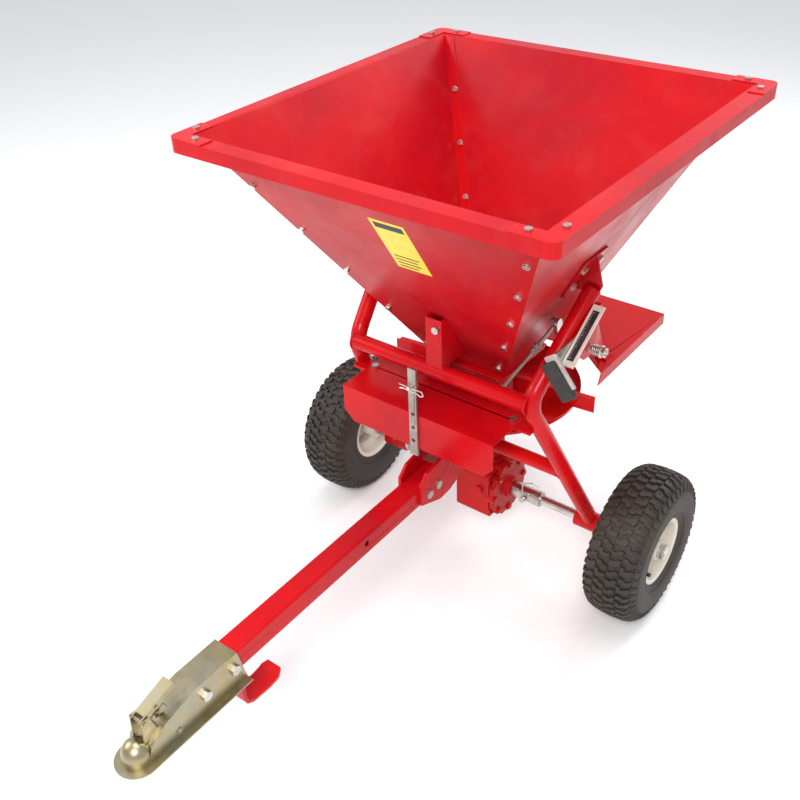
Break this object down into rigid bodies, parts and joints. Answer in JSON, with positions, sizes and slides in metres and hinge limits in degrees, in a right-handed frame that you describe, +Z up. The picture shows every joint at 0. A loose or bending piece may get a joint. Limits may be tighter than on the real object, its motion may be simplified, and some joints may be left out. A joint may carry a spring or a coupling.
{
  "type": "tow behind spreader",
  "caption": "Two-wheeled tow behind broadcast spreader: a square funnel hopper on a tube frame over a wheel-driven spinner, with a draw bar and ball coupler.",
  "frame": {"origin": "ground point under the middle of the machine's length, width centred", "axes": "-Y points forward to the towing vehicle, +X is the machine's left (the driven wheel and lever side), +Z up"},
  "size_m": [0.992, 1.6036, 1.174],
  "materials": {
    "red_paint": "glossy bright red paint",
    "red_casting": "glossy red paint over a casting",
    "yellow_zinc": "yellow passivated zinc",
    "grey_zinc": "dull zinc",
    "bright_zinc": "bright zinc",
    "ground_steel": "ground shaft steel",
    "gear_iron": "oiled cast iron",
    "bronze": "sintered bronze",
    "cream_paint": "semi-gloss cream paint",
    "tyre_rubber": "weathered tread rubber",
    "black_grip": "moulded black grip",
    "scale_metal": "satin plate"
  },
  "bodies": {
    "frame": {"hopper_front_panel": "red_paint", "hopper_rear_panel": "red_paint", "hopper_left_panel": "red_paint", "hopper_right_panel": "red_paint", "corner_caps": "red_paint", "hopper_floor": "red_paint", "shutter_guides": "red_paint", "side_tube_left": "red_paint", "side_tube_right": "red_paint", "crossbar": "red_paint", "lower_cross_member": "red_paint", "bearing_tubes": "red_paint", "front_hopper_bracket": "red_paint", "side_hopper_brackets": "red_paint", "cheek_plates": "red_paint", "front_shield": "red_paint", "rear_hood": "red_paint", "hood_stays": "red_paint", "draw_bar": "red_paint", "skid_foot": "red_paint", "quadrant_bracket": "red_paint", "seam_strips": "red_paint", "gearbox_housing": "red_casting", "gearbox_cover": "red_casting", "gearbox_bolts": "red_casting", "coupler_body": "yellow_zinc", "shield_strap": "grey_zinc", "hopper_bolts": "bright_zinc", "frame_bolts": "bright_zinc", "strap_pin": "bright_zinc", "shaft_bushes": "bronze", "scale_plate": "scale_metal"},
    "wheel_left": {"tyre_left": "tyre_rubber", "rim_left": "cream_paint", "wheel_nut_left": "bright_zinc", "drive_axle": "ground_steel", "coupling_sleeve": "ground_steel", "input_shaft": "ground_steel", "crown_gear": "gear_iron"},
    "linch_pin": {"linch_pin": "bright_zinc"},
    "wheel_right": {"tyre_right": "tyre_rubber", "rim_right": "cream_paint", "wheel_nut_right": "bright_zinc", "idler_axle": "ground_steel"},
    "spinner": {"spinner_disc": "red_paint", "spinner_vanes": "red_paint", "spinner_shaft": "ground_steel", "agitator": "ground_steel", "pinion_gear": "gear_iron"},
    "lever": {"control_lever": "bright_zinc", "lever_grip": "black_grip", "lever_shaft": "bright_zinc", "lever_spring": "bright_zinc", "lever_nuts": "bright_zinc"},
    "gate": {"shutter_plate": "ground_steel", "gate_rod": "grey_zinc"},
    "latch": {"coupler_latch": "yellow_zinc"},
    "trigger": {"coupler_trigger": "yellow_zinc"},
    "ball_clamp": {"ball_clamp": "yellow_zinc"},
    "r_clip": {"r_clip": "bright_zinc"}
  },
  "joints": [
    {"name": "wheel_left_spin", "type": "hinge", "parent": "frame", "child": "wheel_left", "pos_m": [0.428, 0.38825, 0.188], "axis": [1, 0, 0], "continuous": true},
    {"name": "spinner_spin", "type": "hinge", "parent": "frame", "child": "spinner", "pos_m": [0, 0.38825, 0.4475], "axis": [0, 0, 1], "continuous": true},
    {"name": "wheel_right_spin", "type": "hinge", "parent": "frame", "child": "wheel_right", "pos_m": [-0.428, 0.38825, 0.188], "axis": [1, 0, 0], "continuous": true},
    {"name": "lever_pivot", "type": "hinge", "parent": "frame", "child": "lever", "pos_m": [0.281, 0.32925, 0.7095], "axis": [-1, 0, 0], "range_deg": [0, 26]},
    {"name": "gate_slide", "type": "slide", "parent": "frame", "child": "gate", "axis": [0, 1, 0], "range_m": [0, 0.019]},
    {"name": "latch_pivot", "type": "hinge", "parent": "frame", "child": "latch", "pos_m": [0, -0.73775, 0.3885], "axis": [1, 0, 0], "range_deg": [0, 65]},
    {"name": "ball_clamp_slide", "type": "slide", "parent": "frame", "child": "ball_clamp", "axis": [0, 1, 0], "range_m": [0, 0.006]},
    {"name": "trigger_pivot", "type": "hinge", "parent": "latch", "child": "trigger", "pos_m": [0, -0.70588, 0.40043], "axis": [1, 0, 0], "range_deg": [0, 12], "stiffness_Nm_per_rad": 0.06, "springref_deg": -17.19},
    {"name": "linch_pin_pull", "type": "slide", "parent": "wheel_left", "child": "linch_pin", "axis": [0, -1, 0], "range_m": [0, 0.055]},
    {"name": "r_clip_pull", "type": "slide", "parent": "frame", "child": "r_clip", "axis": [1, 0, 0], "range_m": [0, 0.05]}
  ],
  "couplings": [
    {"joint": "spinner_spin", "follows": "wheel_left_spin", "ratio": -2.6667},
    {"joint": "gate_slide", "follows": "lever_pivot", "m_per_rad": 0.04164},
    {"joint": "ball_clamp_slide", "follows": "latch_pivot", "m_per_rad": 0.0052}
  ]
}
